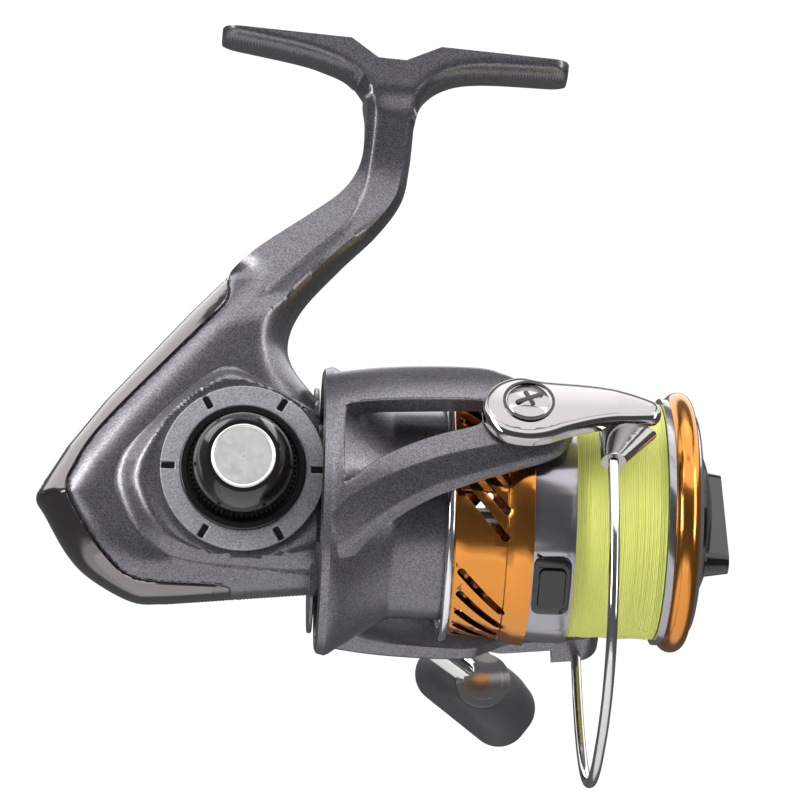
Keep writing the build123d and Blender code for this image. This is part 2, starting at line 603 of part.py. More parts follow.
FAR_FACE = Plane(hub_point, x_dir=ahead, z_dir=-near_radial)
with BuildPart() as bail_holder:
    with BuildSketch(FAR_FACE.offset(PLATE_IN)):
        with Locations((PIVOT_X, 0)):
            Circle(6.4)
        with Locations((BAIL_X, 0.6)):
            Circle(4.2)
        make_hull()
    extrude(amount=6.4)
    block(FAR_FACE, (40.0, -8.0, PLATE_OUT), (57.0, 8.0, 40.0), Mode.SUBTRACT)
    rod(FAR_FACE, 1.4, PLATE_IN, PLATE_OUT, (PIVOT_X, 0), Mode.SUBTRACT)
    add(bail_wire.part, mode=Mode.SUBTRACT)
save(bail_holder, "bail_holder")

with BuildPart() as holder_screw:
    rod(FAR_FACE, 1.35, ARM_R - ARM_WALL, PLATE_OUT, (PIVOT_X, 0))
    rod(FAR_FACE, 3.4, PLATE_OUT, PLATE_OUT + 1.4, (PIVOT_X, 0))
save(holder_screw, "holder_screw")

# ---------------------------------------------------------------- main shaft
CLICK_X = 48.4
PIN_PLANE = Plane(DISC.from_local_coords((0, 0, CLICK_X - 1.0)), x_dir=ahead, z_dir=(0, -1, 0))
with BuildPart() as main_shaft:
    rod(DISC, SHAFT_R, CAM_X - 2.3, 77.4)
    rod(PIN_PLANE, 0.6, -4.5, 4.5, mode=Mode.SUBTRACT)
save(main_shaft, "main_shaft")

with BuildPart() as slider_block:
    block(SIDE, (CAM_X - 2.3, -7.0, -3.2), (CAM_X + 2.3, 11.6, 1.9))
    block(SIDE, (CAM_X - 1.6, CAM_Y - 8.8, -3.2), (CAM_X + 1.6, CAM_Y + 8.8, -2.5), Mode.SUBTRACT)
    for y, rear, front in guide_lines:
        rod(DISC, 0.82, CAM_X - 2.3, CAM_X + 2.3, (0, y), Mode.SUBTRACT)
    rod(DISC, SHAFT_R, CAM_X - 3, CAM_X + 3, mode=Mode.SUBTRACT)
save(slider_block, "slider_block")

with BuildPart() as click_ratchet:
    with BuildSketch(DISC.offset(CLICK_X)):
        Polygon(*gear_points(18, 5.0, 5.9, 0.6, 0.15), align=None)
        Circle(SHAFT_R, mode=Mode.SUBTRACT)
    extrude(amount=1.4)
save(click_ratchet, "click_ratchet")

with BuildPart() as spool_pin:
    rod(PIN_PLANE, 0.6, -4.5, 4.5)
save(spool_pin, "spool_pin")

# ---------------------------------------------------------------- spool
with BuildPart() as spool:
    with BuildSketch(SIDE):
        Polygon(
            (50.2, 1.5), (50.2, 4.4), (54.0, 4.4), (54.0, 19.4), (SKIRT_FRONT, 19.4), (SKIRT_FRONT, BAND_R),
            (WINDING_REAR, BAND_R), (WINDING_REAR, ARBOR_R), (WINDING_FRONT, ARBOR_R), (WINDING_FRONT, 21.6),
            (73.6, 21.6), (73.6, 20.2), (FACE_X, 20.2), (FACE_X, POCKET_R), (66.0, POCKET_R), (66.0, 1.5),
            align=None,
        )
    revolve(axis=SHAFT)
    rod(DISC, 13.6, 58.0, 64.6, mode=Mode.SUBTRACT)
    rod(DISC, 4.4, 58.0, 64.6)
    rod(DISC, 1.5, 50.0, 66.0, mode=Mode.SUBTRACT)

CLIP_ANGLE = -41.0
clip_dir = SIDE.from_local_coords((0, sin(radians(CLIP_ANGLE)), cos(radians(CLIP_ANGLE)))) - hub_point
CLIP = Plane(DISC.from_local_coords((0, 0, 53.0)), x_dir=ahead, z_dir=clip_dir)
with BuildPart() as clip_frame:
    with BuildSketch(CLIP.offset(19.6)):
        RectangleRounded(6.4, 11.4, 1.6)
    extrude(amount=2.8)
    with BuildSketch(CLIP.offset(19.9)):
        RectangleRounded(4.6, 8.0, 1.0)
    extrude(amount=3.5, mode=Mode.SUBTRACT)
    with BuildSketch(SIDE):
        with Locations((53.0, 0)):
            Rectangle(8.0, BAND_R + 0.5, align=(Align.CENTER, Align.MIN))
    revolve(axis=SHAFT, mode=Mode.INTERSECT)
with BuildPart() as clip_pocket:
    with BuildSketch(CLIP.offset(19.6)):
        RectangleRounded(6.4, 11.4, 1.6)
    extrude(amount=4.0)
with spool:
    add(clip_pocket.part, mode=Mode.SUBTRACT)
save(spool, "spool")
save(clip_frame, "clip_frame")

with BuildPart() as line_clip:
    with BuildSketch(CLIP.offset(20.5)):
        RectangleRounded(4.3, 7.6, 0.9)
    extrude(amount=2.0)
save(line_clip, "line_clip")

SLOT_GROUPS = 4
SLOTS = 5
SLOT_STEP = 12.4
with BuildPart() as skirt_ring:
    with BuildSketch(SIDE):
        Polygon(
            (SKIRT_REAR, 19.7), (SKIRT_REAR, 20.9), (45.0, 21.2), (45.2, 21.5), (47.2, 22.2), (SKIRT_FRONT, 22.4),
            (SKIRT_FRONT, 19.4), (48.5, 19.4), (48.2, 19.7), align=None,
        )
    revolve(axis=SHAFT)
    for group in range(SLOT_GROUPS):
        for i in range(SLOTS):
            angle = -6.8 + SLOT_STEP * i + 90 * group
            out = SIDE.from_local_coords((0, sin(radians(angle)), cos(radians(angle)))) - hub_point
            with BuildSketch(Plane(DISC.from_local_coords((0, 0, 41.2)), x_dir=ahead, z_dir=out).offset(16.0)):
                SlotOverall(12.4, 1.4, rotation=-49)
            extrude(amount=9.0, mode=Mode.SUBTRACT)
save(skirt_ring, "skirt_ring")

with BuildPart() as rear_ring:
    with BuildSketch(SIDE):
        Polygon(
            (34.8, 19.9), (34.8, 21.8), (35.2, 22.1), (36.0, 21.8), (SKIRT_REAR, 20.9), (SKIRT_REAR, 19.7),
            align=None,
        )
    revolve(axis=SHAFT)
save(rear_ring, "rear_ring")

with BuildPart() as spool_lip:
    with BuildSketch(SIDE):
        with BuildLine():
            Polyline((73.6, 21.6), (73.6, 20.2), (FACE_X, 20.2), (FACE_X, 20.8))
            ThreePointArc((FACE_X, 20.8), (LIP_X, LIP_R), (73.6, 21.6))
        make_face()
    revolve(axis=SHAFT)
save(spool_lip, "spool_lip")

with BuildPart() as line_winding:
    ring(DISC, WINDING_R, ARBOR_R, WINDING_REAR, WINDING_FRONT)
save(line_winding, "line_winding")

with BuildPart() as face_ring:
    with BuildSketch(SIDE):
        Polygon((FACE_X, 20.2), (FACE_X, 12.8), (79.0, 12.8), (79.0, 15.6), (78.6, 19.0), align=None)
    revolve(axis=SHAFT)
save(face_ring, "face_ring")

with BuildPart() as click_pawl:
    rod(ROTOR, 1.2, CLICK_X + 1.4, 54.0, (0, 9.0))
    block(ROTOR, (-1.2, 6.3, CLICK_X), (1.2, 10.2, CLICK_X + 1.4))
save(click_pawl, "click_pawl")

with BuildPart() as drag_felts:
    for start in (66.0, 67.6, 69.2):
        ring(DISC, 11.6, 2.2, start, start + 1.0)
save(drag_felts, "drag_felts")

with BuildPart() as drag_plates:
    for start in (67.0, 68.6, 70.2):
        ring(DISC, 11.4, 2.0, start, start + 0.6)
save(drag_plates, "drag_plates")

with BuildPart() as drag_snap_ring:
    ring(DISC, POCKET_R, 10.8, 70.8, 71.5)
    block(ROTOR, (8.0, -1.5, 70.0), (13.0, 1.5, 72.0), Mode.SUBTRACT)
save(drag_snap_ring, "drag_snap_ring")

# ---------------------------------------------------------------- drag knob
KNOB_BASE = 72.6
WING_ANGLE = 55.0
with BuildPart() as drag_knob:
    with BuildSketch(SIDE):
        with BuildLine():
            Polyline((KNOB_BASE, 7.6), (KNOB_BASE, 10.4), (74.0, 11.6), (78.0, 11.7), (78.4, 12.3), (80.0, 12.3))
            ThreePointArc((80.0, 12.3), (81.0, 9.6), (81.4, 0))
            Polyline((81.4, 0), (78.6, 0), (78.6, 7.6), (KNOB_BASE, 7.6))
        make_face()
    revolve(axis=SHAFT)
    with BuildSketch(DISC.offset(79.6)):
        with Locations(Location((0, 0, 0), (0, 0, WING_ANGLE))):
            RectangleRounded(23.6, 5.6, 2.6)
    extrude(amount=5.0, taper=9)
save(drag_knob, "drag_knob")

with BuildPart() as drag_nut:
    with BuildSketch(DISC.offset(74.6)):
        RegularPolygon(4.0, 6)
        Circle(1.45, mode=Mode.SUBTRACT)
    extrude(amount=2.6)
    ring(DISC, 7.6, 3.2, 77.2, 78.6)
save(drag_nut, "drag_nut")

with BuildPart() as drag_spring:
    ring(DISC, 5.6, 4.2, 71.0, 74.4)
save(drag_spring, "drag_spring")
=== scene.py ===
import bpy, bmesh, json, math
import numpy as np
from mathutils import Vector, Matrix, geometry


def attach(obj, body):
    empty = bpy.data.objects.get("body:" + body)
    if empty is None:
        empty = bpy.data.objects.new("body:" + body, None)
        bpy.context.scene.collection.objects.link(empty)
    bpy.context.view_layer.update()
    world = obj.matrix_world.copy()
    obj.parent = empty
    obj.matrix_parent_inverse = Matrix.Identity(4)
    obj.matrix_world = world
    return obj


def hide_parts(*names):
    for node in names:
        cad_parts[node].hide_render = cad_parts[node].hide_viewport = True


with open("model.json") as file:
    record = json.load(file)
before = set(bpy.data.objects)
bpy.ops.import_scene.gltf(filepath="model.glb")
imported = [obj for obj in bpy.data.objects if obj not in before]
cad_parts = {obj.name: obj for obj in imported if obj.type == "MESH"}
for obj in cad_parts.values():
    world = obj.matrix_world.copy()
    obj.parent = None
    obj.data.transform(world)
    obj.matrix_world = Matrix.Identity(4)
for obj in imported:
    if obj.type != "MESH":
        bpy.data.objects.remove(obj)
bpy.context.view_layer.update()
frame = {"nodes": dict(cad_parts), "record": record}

MM = 0.001
TILT = math.radians(4.0)
HUB = Vector((-33.8, 0.0, -84.9)) * MM
AHEAD = Vector((math.cos(TILT), 0, math.sin(TILT)))
UP = Vector((-math.sin(TILT), 0, math.cos(TILT)))
NEAR = Vector((0, -1, 0))
FLANGE_REACH = 13.2  # how far the housing's front flange comes out on the cap side, mm
RING_RADIUS = 14.2  # seat of the bearing ring, mm
HANDLE_AXIS_UP = 4.5  # crank axis above the spool axis, mm
FLOOR_Z = -0.6
FLOOR_RADIUS = 0.46
STUDIO_STRENGTH = 1.7
BACKDROP_STRENGTH = 1.05


def side(x, y, z=0.0):
    """Row-frame point from x ahead, y up and z to the cap side, in mm."""
    return HUB + (AHEAD * x + UP * y + NEAR * z) * MM


# ------------------------------------------------------------------ materials
def material(name, slot, color, metallic=0.0, rough=0.4, coat=0.0, coat_rough=0.05, spec=0.5, nodes=None):
    m = bpy.data.materials.new(name)
    m.use_nodes = True
    b = m.node_tree.nodes["Principled BSDF"]
    b.inputs["Base Color"].default_value = (*color, 1)
    b.inputs["Metallic"].default_value = metallic
    b.inputs["Roughness"].default_value = rough
    b.inputs["Coat Weight"].default_value = coat
    b.inputs["Coat Roughness"].default_value = coat_rough
    b.inputs["Specular IOR Level"].default_value = spec
    if nodes:
        nodes(m.node_tree, b)
    SLOTS[slot] = m
    return m


def node(t, kind, **props):
    n = t.nodes.new(kind)
    for k, v in props.items():
        if k in n.inputs:
            n.inputs[k].default_value = v
        else:
            setattr(n, k, v)
    return n


def flake(dark, light, scale=2600.0, bump=0.25, rough=(0.28, 0.5)):
    """Fine metallic flake: small cells of different brightness and tilt, with a slow variation over them."""
    def build(t, b):
        tc = node(t, "ShaderNodeTexCoord")
        v = node(t, "ShaderNodeTexVoronoi", Scale=scale)
        n = node(t, "ShaderNodeTexNoise", Scale=scale * 0.45, Detail=2.0)
        t.links.new(tc.outputs["Object"], v.inputs["Vector"])
        t.links.new(tc.outputs["Object"], n.inputs["Vector"])
        sep = node(t, "ShaderNodeSeparateColor")
        t.links.new(v.outputs["Color"], sep.inputs["Color"])
        ramp = node(t, "ShaderNodeValToRGB")
        ramp.color_ramp.elements[0].position = 0.1
        ramp.color_ramp.elements[0].color = (*dark, 1)
        ramp.color_ramp.elements[1].position = 0.95
        ramp.color_ramp.elements[1].color = (*light, 1)
        t.links.new(sep.outputs["Red"], ramp.inputs["Fac"])
        t.links.new(ramp.outputs["Color"], b.inputs["Base Color"])
        r = node(t, "ShaderNodeMapRange")
        r.inputs["To Min"].default_value = rough[0]
        r.inputs["To Max"].default_value = rough[1]
        t.links.new(n.outputs["Fac"], r.inputs["Value"])
        t.links.new(r.outputs["Result"], b.inputs["Roughness"])
        bm = node(t, "ShaderNodeBump", Strength=bump, Distance=0.00002)
        t.links.new(sep.outputs["Green"], bm.inputs["Height"])
        t.links.new(bm.outputs["Normal"], b.inputs["Normal"])
    return build


def grain(scale=900.0, bump=0.15, distance=0.00004):
    """Very fine unevenness."""
    def build(t, b):
        tc = node(t, "ShaderNodeTexCoord")
        n = node(t, "ShaderNodeTexNoise", Scale=scale, Detail=4.0)
        t.links.new(tc.outputs["Object"], n.inputs["Vector"])
        bm = node(t, "ShaderNodeBump", Strength=bump, Distance=distance)
        t.links.new(n.outputs["Fac"], bm.inputs["Height"])
        t.links.new(bm.outputs["Normal"], b.inputs["Normal"])
        r = node(t, "ShaderNodeMapRange")
        base = b.inputs["Roughness"].default_value
        r.inputs["To Min"].default_value = base * 0.8
        r.inputs["To Max"].default_value = base * 1.2
        t.links.new(n.outputs["Fac"], r.inputs["Value"])
        t.links.new(r.outputs["Result"], b.inputs["Roughness"])
    return build


SLOTS = {}
material("PaintCharcoal", "body_paint", (0.1, 0.1, 0.11), 0.85, 0.38, 0.35, 0.12,
        nodes=flake((0.085, 0.082, 0.09), (0.25, 0.243, 0.264), 8200.0, 0.25, (0.22, 0.44)))
material("RearShell", "rear_shell", (0.22, 0.2, 0.2), 1.0, 0.12, 0.3, 0.03, nodes=grain(60.0, 0.02))
material("RingGrey", "ring_grey", (0.4, 0.4, 0.42), 0.6, 0.42,
        nodes=flake((0.26, 0.26, 0.28), (0.5, 0.5, 0.53), 6000.0, 0.4, (0.35, 0.6)))
material("BlackGloss", "black_plastic", (0.008, 0.007, 0.007), 0.0, 0.12, 0.25, 0.03,
        nodes=grain(300.0, 0.03))
material("Steel", "steel", (0.5, 0.5, 0.51), 1.0, 0.28, nodes=grain(1500.0, 0.1))
material("BearingSteel", "bearing_steel", (0.6, 0.6, 0.61), 1.0, 0.14, nodes=grain(1500.0, 0.05))
material("GearMetal", "gear_metal", (0.5, 0.49, 0.46), 1.0, 0.33, nodes=grain(1200.0, 0.1))
material("Brass", "brass", (0.72, 0.5, 0.2), 1.0, 0.25, nodes=grain(1200.0, 0.08))
material("SpunMetal", "spun_metal", (0.95, 0.95, 0.93), 1.0, 0.42, nodes=grain(900.0, 0.05))
material("BrightChrome", "bright_chrome", (0.62, 0.61, 0.6), 1.0, 0.08, nodes=grain(80.0, 0.02))
material("DarkChrome", "dark_chrome", (0.42, 0.4, 0.395), 1.0, 0.07, nodes=grain(80.0, 0.02))
material("KnobRubber", "knob_rubber", (0.045, 0.044, 0.049), 0.0, 0.55, 0.0, 0.3, nodes=grain(1600.0, 0.15))
material("SpoolGrey", "spool_grey", (0.34, 0.33, 0.36), 0.95, 0.2, 0.6, 0.05, nodes=grain(1400.0, 0.05))
material("GoldAnodised", "gold", (0.66, 0.26, 0.055), 1.0, 0.16, nodes=grain(1400.0, 0.04))
material("Silver", "silver", (0.75, 0.75, 0.77), 1.0, 0.12, nodes=grain(1400.0, 0.03))
material("Line", "line", (0.76, 0.8, 0.2), 0.0, 0.55, nodes=grain(1400.0, 0.2))
material("Felt", "felt", (0.1, 0.1, 0.09), 0.0, 0.95, nodes=grain(2000.0, 0.4, 0.0002))

slot_of = {s["node"]: s["material_slot"] for s in frame["record"]["subparts"]}
for name, obj in frame["nodes"].items():
    obj.data.materials.clear()
    obj.data.materials.append(SLOTS[slot_of[name]])

# ------------------------------------------------------------------ outlines of the case, mm (x ahead, y up)
def smooth_curve(points, step=0.6, closed=False):
    """Points along a Catmull-Rom curve through the given ones."""
    p = [np.array(q, float) for q in points]
    if closed:
        p = [p[-1]] + p + [p[0], p[1]]
    else:
        p = [2 * p[0] - p[1]] + p + [2 * p[-1] - p[-2]]
    out = []
    for a, b, c, d in zip(p, p[1:], p[2:], p[3:]):
        n = max(2, int(np.linalg.norm(c - b) / step))
        for i in range(n):
            t = i / n
            out.append(0.5 * (2 * b + (c - a) * t + (2 * a - 5 * b + 4 * c - d) * t * t
                    + (3 * b - a - 3 * c + d) * t ** 3))
    if not closed:
        out.append(p[-2])
    return np.array(out)


def straight(points, step=0.6):
    """Points along straight runs."""
    out = []
    for a, b in zip(points, points[1:]):
        a, b = np.array(a, float), np.array(b, float)
        n = max(1, int(np.linalg.norm(b - a) / step))
        out += [a + (b - a) * i / n for i in range(n)]
    out.append(np.array(points[-1], float))
    return np.array(out)


def distance(points, line):
    """Distance of each point to a polyline, and on which side of it the point lies."""
    best = np.full(len(points), 1e9)
    sign = np.ones(len(points))
    for a, b in zip(line, line[1:]):
        ab = b - a
        t = np.clip(((points - a) @ ab) / max(ab @ ab, 1e-12), 0, 1)
        off = points - (a + t[:, None] * ab)
        d = np.hypot(off[:, 0], off[:, 1])
        near = d < best
        best[near] = d[near]
        sign[near] = np.sign(ab[0] * off[near, 1] - ab[1] * off[near, 0])
    return best, sign


def inside(points, line):
    """Whether each point lies inside a closed polyline."""
    x, y = points[:, 0], points[:, 1]
    hit = np.zeros(len(points), bool)
    for (x1, y1), (x2, y2) in zip(line, np.roll(line, -1, axis=0)):
        if y1 == y2:
            continue
        cross = (y1 > y) != (y2 > y)
        hit ^= cross & (x < (x2 - x1) * (y - y1) / (y2 - y1) + x1)
    return hit


def rings(line, offsets, closed=False):
    """Points beside a polyline at signed distances, without those that fall nearer another part of it."""
    if closed:
        line = np.vstack([line, line[:1]])
    mid = (line[1:] + line[:-1]) / 2
    run = line[1:] - line[:-1]
    length = np.hypot(run[:, 0], run[:, 1])[:, None]
    normal = np.stack([-run[:, 1], run[:, 0]], 1) / np.maximum(length, 1e-9)
    out = []
    for off in offsets:
        p = mid + normal * off
        d, _ = distance(p, line)
        out.append(p[d > abs(off) * 0.985 - 1e-6])
    return np.vstack(out)


def foot(x, z):
    """A point of the foot, from its middle, as x ahead and y up of the spool axis."""
    a, b = x + 18.8, z + 84.9
    return (math.cos(TILT) * a + math.sin(TILT) * b, -math.sin(TILT) * a + math.cos(TILT) * b)


BACK = np.vstack([
    straight([(12.8, -14.6), (-12.7, -17.1)]),
    smooth_curve([(-12.7, -17.1), (-18.5, -16.9), (-25.9, -13.1), (-30.2, -8.9), (-34.3, -2.2),
            (-35.7, 0.2), (-34.6, 2.8), (-30.7, 9.4)], 0.5)[1:],
    straight([(-30.7, 9.4), (-24.5, 17.6), (-10.2, 33.9), (-3.8, 40.8)])[1:],
])
STEM_LEFT = smooth_curve([(-3.8, 40.8), (3.6, 46.8), (10.5, 52.0), (15.6, 56.2), (18.4, 60.4),
        (19.5, 65.4), (19.7, 71.0), foot(-4.9, -9.2)], 0.5)
FOOT_LEFT = smooth_curve([foot(-4.9, -9.2), foot(-8.2, -6.0), foot(-12.5, -4.4), foot(-17.8, -3.3),
        foot(-31.0, -1.8)], 0.5)
FOOT_TOP = straight([foot(-31.0, -1.8), foot(-31.0, 0), foot(-8.0, 0), foot(-3.0, -3.1),
        foot(2.0, -3.1), foot(8.0, 0), foot(31.0, 0), foot(31.0, -2.8)], 0.5)
FOOT_RIGHT = smooth_curve([foot(31.0, -2.8), foot(16.0, -3.6), foot(9.4, -5.4), foot(5.6, -9.0),
        foot(4.6, -13.5)], 0.5)
STEM_RIGHT = smooth_curve([foot(4.6, -13.5), (27.7, 62.0), (26.4, 55.6), (22.3, 49.6), (15.9, 43.1),
        (9.6, 35.8), (7.2, 29.8), (8.2, 24.9), (12.8, 19.1)], 0.5)
FRONT = straight([(12.8, 19.1), (12.8, -14.6)], 0.7)
OUTLINE = np.vstack([BACK[:-1], STEM_LEFT[:-1], FOOT_LEFT[:-1], FOOT_TOP[:-1], FOOT_RIGHT[:-1],
        STEM_RIGHT[:-1], FRONT[:-1]])
SEAM = smooth_curve([(-3.5, 42.0), (-3.4, 38.2), (-3.5, 35.6), (-5.2, 32.8), (-11.6, 26.0),
        (-24.6, 11.8), (-28.9, 4.6), (-29.9, 1.6), (-29.0, -1.3),
                     (-25.4, -7.0), (-21.6, -11.4), (-18.6, -13.6), (-14.6, -14.4), (-3.0,
                             -14.5), (-1.2, -15.6), (-0.1, -18.2)], 0.4)
COVER_ZONE = np.vstack([SEAM, [(-0.1, -30.0), (-60.0, -30.0), (-60.0, 60.0), (-3.5, 60.0)]])
PAD = smooth_curve([(13.4, 14.9), (6.0, 18.9), (-0.3, 22.2), (-2.7, 22.8), (-5.6, 22.0), (-12.0, 16.8),
        (-19.4, 8.8), (-21.4, 5.2), (-21.9, 2.2),
                    (-20.9, -1.0), (-17.8, -6.4), (-12.9, -10.1), (-6.4, -11.4), (3.8, -12.0), (13.4,
                            -12.6)], 0.4)
PAD_ZONE = np.vstack([PAD, [(30, -12.6), (30, 14.9)]])
CREASE = smooth_curve([(20.7, 76.0), (20.6, 68.4), (20.2, 63.0), (19.5, 57.6), (18.2, 53.6),
        (15.8, 49.6), (10.5, 44.5), (6.1, 40.4), (1.5, 35.6), (-0.6, 32.4)], 0.5)
RING_AT = np.array([0.0, 4.4])
FAR_CUT = 10.5


def ease(t):
    t = np.clip(t, 0, 1)
    return t * t * (3 - 2 * t)


def bulge(d, radius, power=2.2):
    """Height of a rounded edge, from 0 at the outline to 1 one radius inside it."""
    return (1 - (1 - np.clip(d / radius, 0, 1)) ** power) ** (1 / power)


def soft_min(a, b, k=0.03):
    h = np.clip(0.5 + 0.5 * (b - a) / k, 0, 1)
    return b * (1 - h) + a * h - k * h * (1 - h)


def case_heights(p):
    """Height of the near and the far side over the mid-plane, at points in the outline."""
    x, y = p[:, 0], p[:, 1]
    d_back, _ = distance(p, BACK)
    d_left, _ = distance(p, np.vstack([BACK[-12:], STEM_LEFT]))
    d_right, _ = distance(p, STEM_RIGHT)
    d_under = np.minimum(distance(p, FOOT_LEFT)[0], distance(p, FOOT_RIGHT)[0])
    d_crease, _ = distance(p, CREASE)
    fx = (x - foot(0, 0)[0]) * math.cos(TILT) + (y - foot(0, 0)[1]) * -math.sin(TILT)
    fz = (x - foot(0, 0)[0]) * math.sin(TILT) + (y - foot(0, 0)[1]) * math.cos(TILT)
    # half thickness of the plain sides
    up = np.clip((y - 30.0) / 32.0, 0, 1)
    width = 12.4 + (4.6 - 12.4) * ease(up ** 0.85)
    grow = ease((y - 60.0) / 16.0)
    width = width * (1 - grow) + 6.5 * grow
    plan = np.minimum(6.5, 3.5 + np.sqrt(np.maximum(0, 9 - np.clip(3 - (31.0 - np.abs(fx)), 0, 3) ** 2)))
    width = np.where(fz > -8.0, np.minimum(np.maximum(width, 6.5 * ease((fz + 12.0) / 4.0)), plan), width)
    # rounded edges
    r_right = 4.0 + 2.5 * ease((50 - y) / 20)
    f = bulge(d_right, np.where(y > 66, 3.6, r_right), 2.0)
    f = soft_min(f, 0.1 + 0.9 * bulge(d_back, 9.5, 2.1), 0.05)
    facet = d_left / np.maximum(d_left + d_crease, 1e-6)
    near_edge = 0.42 + 0.54 * np.clip(facet, 0, 1)
    left_of = distance(p, CREASE)[1] > 0
    facet_f = np.where(left_of & (y > 30), near_edge, 0.96 + 0.04 * ease(d_crease / 3))
    fade = ease((y - 31.0) / 6.0)
    facet_f = facet_f * fade + (1 - fade)
    f = np.minimum(f, facet_f)
    f_foot = 0.3 + 0.7 * bulge(d_under, 1.9, 2.0)
    foot_blend = ease((fz + 13.0) / 5.0)
    f = np.where(foot_blend > 0, f * (1 - foot_blend) + np.minimum(f_foot, 1) * foot_blend, f)
    top = width * f
    # bearing boss on the near side
    d_pad, _ = distance(p, PAD)
    in_pad = inside(p, PAD_ZONE)
    s = np.maximum(0, np.hypot(*(p - RING_AT).T) - RING_RADIUS)
    u = d_pad / np.maximum(d_pad + s, 1e-6)
    rise = np.where(u < 0.6, 0.3 + 2.5 * ease(u / 0.6), 2.8 - 0.35 * ease((u - 0.6) / 0.4))
    step = np.clip(d_pad / 0.14, 0, 1)
    near = np.where(in_pad, np.maximum(top, 11.9) * (1 - step) + (12.2 + rise) * step, top)
    near = np.where(in_pad & (s <= 0), 14.65, near)
    # handle boss on the far side
    r = np.hypot(x, y - HANDLE_AXIS_UP)
    far = top + np.where(r < 17, (17.0 - 12.4) * (1 - ease((r - 8.6) / 7.0)), 0) * ease(f * 4 - 3)
    return near, far


def case_meshes():
    n = len(OUTLINE)
    circle = np.array([(RING_RADIUS * math.cos(a) + RING_AT[0],
            RING_RADIUS * math.sin(a) + RING_AT[1]) for a in np.linspace(0, 2 * math.pi, 170)])
    gx, gy = np.meshgrid(np.arange(-37, 52, 0.55), np.arange(-19, 88, 0.55))
    layers = [
        (OUTLINE, None, 0.0),
        (rings(SEAM, [-0.5, -0.22, 0.0, 0.16, 0.3, 0.55, 0.9]), SEAM, 1.1),
        (rings(PAD, [-0.25, 0.0, 0.07, 0.14, 0.4, 0.8]), PAD, 1.0),
        (rings(circle, [-0.35, 0.0, 0.3]), circle, 0.6),
        (rings(CREASE, [-0.7, -0.35, 0.0, 0.35, 0.7]), CREASE, 0.9),
        (rings(np.vstack([BACK, STEM_LEFT]), [-0.12, -0.4, -0.8, -1.4, -2.1, -2.8]),
                np.vstack([BACK, STEM_LEFT]), 3.0),
        (rings(FOOT_LEFT, [-0.12, -0.4, -0.8, -1.3, -1.9]), FOOT_LEFT, 2.1),
        (rings(np.vstack([FOOT_RIGHT, STEM_RIGHT]), [-0.12, -0.4, -0.8, -1.3, -2.0, -2.8]),
                np.vstack([FOOT_RIGHT, STEM_RIGHT]), 3.0),
        (np.stack([gx.ravel() + 0.013, gy.ravel() + 0.017], 1), None, 0.0),
    ]
    outline = np.vstack([OUTLINE, OUTLINE[:1]])
    pts, owners = [OUTLINE], []
    for q, owner, clear in layers[1:]:
        q = q[inside(q, OUTLINE)]
        q = q[distance(q, outline)[0] > 0.09]
        for other, room in owners:
            q = q[distance(q, other)[0] > room]
        if owner is not None:
            owners.append((owner, clear))
        pts.append(q)
    p = np.vstack(pts)
    key = np.round(p / 0.05).astype(int)
    _, first = np.unique(key, axis=0, return_index=True)
    p = p[np.sort(np.union1d(first, np.arange(n)))]
    edges = [(i, (i + 1) % n) for i in range(n)]
    verts, _, faces, _, _, _ = geometry.delaunay_2d_cdt([Vector(q) for q in p], edges, [], 1, 1e-5)
    p = np.array([tuple(v) for v in verts])
    tri = np.array([f for f in faces if len(f) == 3])
    mid = p[tri].mean(axis=1)
    tri = tri[inside(mid, OUTLINE)]
    mid = p[tri].mean(axis=1)
    near, far = case_heights(p)
    d_seam, _ = distance(p, SEAM)
    in_cover = inside(p, COVER_ZONE)
    drop = np.where(in_cover, 0.9 * ease(d_seam / 0.16), 0.0)
    roll_body = np.where(~in_cover, 0.35 * (1 - ease(d_seam / 0.5)), 0.0)
    house_near = near - drop - roll_body
    house_far = np.minimum(far, FAR_CUT - 0.1) - drop
    build("housing_shell", p, tri, house_near, house_far, "root", "body_paint", ["housing_body"])
    # rear cover
    far_from = in_cover[tri].all(axis=1) & (d_seam[tri].min(axis=1) > 0.14)
    roll = 0.5 * (1 - ease((d_seam - 0.16) / 0.45))
    build("rear_shell", p, tri[far_from], near + 0.12 - roll, far + 0.12 - roll, "root", "rear_shell",
            ["rear_cover"])
    # side cover, handle side
    zone = (~in_cover[tri]).all(axis=1) & (far[tri].min(axis=1) > FAR_CUT) & (mid[:, 1] < 33)
    build("side_shell", p, tri[zone], np.full(len(p), -FAR_CUT + 0.1), far, "root", "body_paint",
            ["side_cover"])


def build(name, p, tri, near, far, body, mat, nodes, to_row=side, angle=35):
    """A closed shell between two height sheets over the same triangles."""
    used = np.unique(tri)
    index = {int(v): i for i, v in enumerate(used)}
    n = len(used)
    verts = [to_row(p[v, 0], p[v, 1], near[v]) for v in used] + [to_row(p[v, 0], p[v, 1],
            -far[v]) for v in used]
    t = [[index[int(v)] for v in f] for f in tri]
    faces = [tuple(f) for f in t] + [(f[0] + n, f[2] + n, f[1] + n) for f in t]
    seen = {}
    for f in t:
        for a, b in ((f[0], f[1]), (f[1], f[2]), (f[2], f[0])):
            seen[(a, b)] = True
    for a, b in seen:
        if (b, a) not in seen:
            faces.append((b, a, a + n, b + n))
    me = bpy.data.meshes.new(name)
    me.from_pydata(verts, [], faces)
    me.validate()
    ob = bpy.data.objects.new(name, me)
    bpy.context.collection.objects.link(ob)
    finish_piece(ob, body, mat, nodes, angle)
    return ob


